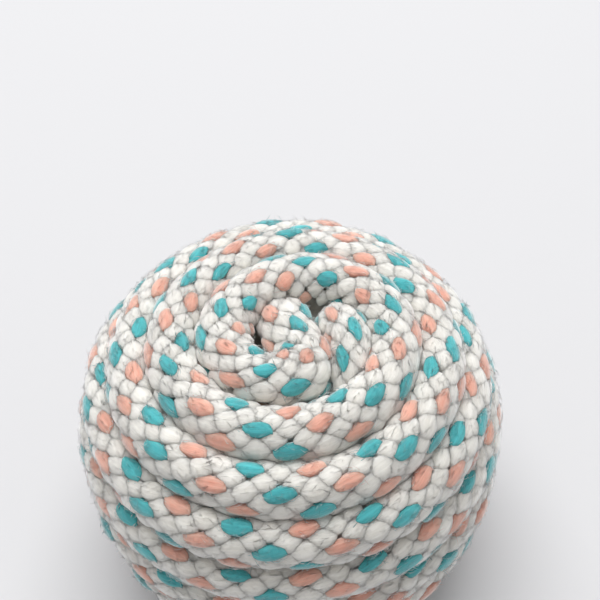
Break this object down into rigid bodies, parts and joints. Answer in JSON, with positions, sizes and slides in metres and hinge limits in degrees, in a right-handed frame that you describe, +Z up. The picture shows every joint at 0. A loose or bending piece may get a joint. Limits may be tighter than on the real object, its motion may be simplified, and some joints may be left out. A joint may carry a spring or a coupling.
{
  "type": "macrame cord ball",
  "caption": "Wound ball of thick, soft braided macrame cord in white with turquoise and salmon flecks, resting on a small flat spot.",
  "frame": {"origin": "centre of the flat spot that the ball rests on", "axes": "+Z up along the winding axis, out of the sunken centre of the top; -Y is the front of the picture"},
  "size_m": [0.0938, 0.0937, 0.0768],
  "materials": {
    "white_strand": "matt, softly spun white yarn",
    "turquoise_strand": "matt, softly spun turquoise yarn",
    "salmon_strand": "matt, softly spun salmon yarn"
  },
  "bodies": {
    "root": {"cord_ball": "white_strand"}
  },
  "joints": []
}
